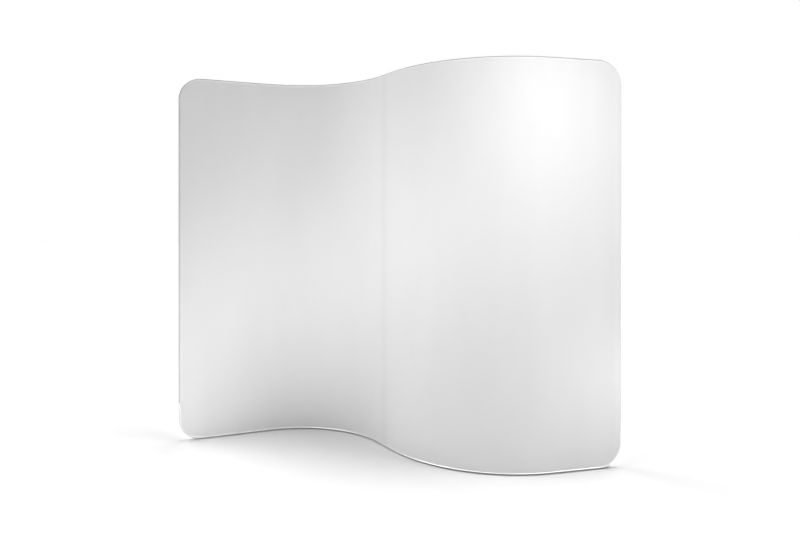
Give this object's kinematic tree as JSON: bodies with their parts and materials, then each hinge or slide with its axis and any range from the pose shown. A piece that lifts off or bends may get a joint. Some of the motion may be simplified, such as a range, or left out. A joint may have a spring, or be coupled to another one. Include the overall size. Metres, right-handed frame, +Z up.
{
  "type": "fabric display wall",
  "caption": "Free-standing wave-shaped display wall: a zipped white stretch cover over a knock-down tube frame with snap buttons.",
  "frame": {"origin": "middle of the footprint, on the floor", "axes": "+X along the line through both end posts, +Y to the back of the wall, +Z up"},
  "size_m": [2.6966, 0.6181, 2.3],
  "materials": {
    "cover": "matt white stretch knit",
    "zip": "white woven tape with moulded coil",
    "zip_metal": "white lacquer",
    "connector": "moulded, fine grain",
    "spigot": "mill finish",
    "spring_steel": "polished by use",
    "tube": "satin anodised"
  },
  "bodies": {
    "wall": {"bottom_left_rail": "tube", "left_post_lower": "tube", "top_left_rail": "tube", "left_post_upper": "tube", "bottom_right_rail": "tube", "right_post_lower": "tube", "top_right_rail": "tube", "right_post_upper": "tube", "centre_post_lower": "tube", "centre_post_upper": "tube", "bottom_tee": "connector", "top_tee": "connector", "bottom_left_rail_spigot": "spigot", "top_left_rail_spigot": "spigot", "bottom_right_rail_spigot": "spigot", "top_right_rail_spigot": "spigot", "centre_post_middle_spigot": "spigot", "left_post_middle_spigot": "spigot", "right_post_middle_spigot": "spigot", "snap_springs": "spring_steel", "front_panel": "cover", "front_zip_tape": "zip", "back_panel": "cover", "back_zip_tape": "zip", "zip_stops": "zip_metal"},
    "bottom_left_tee_button": {"bottom_left_tee_button": "spring_steel"},
    "bottom_left_rail_button": {"bottom_left_rail_button": "spring_steel"},
    "top_left_tee_button": {"top_left_tee_button": "spring_steel"},
    "top_left_rail_button": {"top_left_rail_button": "spring_steel"},
    "bottom_right_tee_button": {"bottom_right_tee_button": "spring_steel"},
    "bottom_right_rail_button": {"bottom_right_rail_button": "spring_steel"},
    "top_right_tee_button": {"top_right_tee_button": "spring_steel"},
    "top_right_rail_button": {"top_right_rail_button": "spring_steel"},
    "zip_slider": {"zip_slider": "zip_metal", "zip_pull_pin": "zip_metal"},
    "zip_pull": {"zip_pull": "zip_metal"}
  },
  "joints": [
    {"name": "bottom_left_tee_press", "type": "slide", "parent": "wall", "child": "bottom_left_tee_button", "axis": [0, 0, -1], "range_m": [0, 0.0041], "stiffness_N_per_m": 1500, "springref_m": -0.001, "deforming": ["snap_springs"]},
    {"name": "bottom_left_rail_press", "type": "slide", "parent": "wall", "child": "bottom_left_rail_button", "axis": [0, 0, -1], "range_m": [0, 0.0041], "stiffness_N_per_m": 1500, "springref_m": -0.001, "deforming": ["snap_springs"]},
    {"name": "top_left_tee_press", "type": "slide", "parent": "wall", "child": "top_left_tee_button", "axis": [0, 0, 1], "range_m": [0, 0.0041], "stiffness_N_per_m": 1500, "springref_m": -0.001, "deforming": ["snap_springs"]},
    {"name": "top_left_rail_press", "type": "slide", "parent": "wall", "child": "top_left_rail_button", "axis": [0, 0, 1], "range_m": [0, 0.0041], "stiffness_N_per_m": 1500, "springref_m": -0.001, "deforming": ["snap_springs"]},
    {"name": "bottom_right_tee_press", "type": "slide", "parent": "wall", "child": "bottom_right_tee_button", "axis": [0, 0, -1], "range_m": [0, 0.0041], "stiffness_N_per_m": 1500, "springref_m": -0.001, "deforming": ["snap_springs"]},
    {"name": "bottom_right_rail_press", "type": "slide", "parent": "wall", "child": "bottom_right_rail_button", "axis": [0, 0, -1], "range_m": [0, 0.0041], "stiffness_N_per_m": 1500, "springref_m": -0.001, "deforming": ["snap_springs"]},
    {"name": "top_right_tee_press", "type": "slide", "parent": "wall", "child": "top_right_tee_button", "axis": [0, 0, 1], "range_m": [0, 0.0041], "stiffness_N_per_m": 1500, "springref_m": -0.001, "deforming": ["snap_springs"]},
    {"name": "top_right_rail_press", "type": "slide", "parent": "wall", "child": "top_right_rail_button", "axis": [0, 0, 1], "range_m": [0, 0.0041], "stiffness_N_per_m": 1500, "springref_m": -0.001, "deforming": ["snap_springs"]},
    {"name": "zip_slider_run", "type": "slide", "parent": "wall", "child": "zip_slider", "axis": [0, 0, -1], "range_m": [0, 0.075]},
    {"name": "zip_pull_swing", "type": "hinge", "parent": "zip_slider", "child": "zip_pull", "pos_m": [-1.34492, -0.08087, 0.2217], "axis": [-0.5097, 0.8604, 0], "range_deg": [0, 170]}
  ]
}
